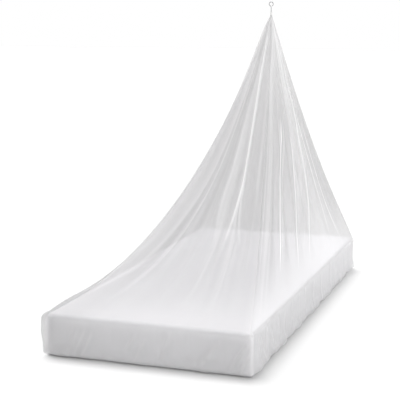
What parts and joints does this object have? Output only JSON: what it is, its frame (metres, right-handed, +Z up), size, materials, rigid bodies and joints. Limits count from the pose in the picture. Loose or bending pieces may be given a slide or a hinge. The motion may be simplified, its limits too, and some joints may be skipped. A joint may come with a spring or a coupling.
{
  "type": "mosquito net canopy with hook and mattress",
  "caption": "Sheer net gathered at a wire hook above the head end of a single mattress, hanging in a long sweep to the foot end and tucked in round the mattress.",
  "frame": {"origin": "centre of the mattress's underside, on the floor", "axes": "+Y along the mattress from the foot end to the head end, +Z up, +X to the right when seen from the foot end"},
  "size_m": [0.9259, 2.0248, 1.4802],
  "materials": {
    "mattress": "matt white cotton cover",
    "net": "sheer white mesh",
    "binding": "white woven tape",
    "wire": "bright round wire"
  },
  "bodies": {
    "root": {"mattress": "mattress", "net_canopy": "net", "neck_binding": "binding", "hanging_hook": "wire"}
  },
  "joints": []
}
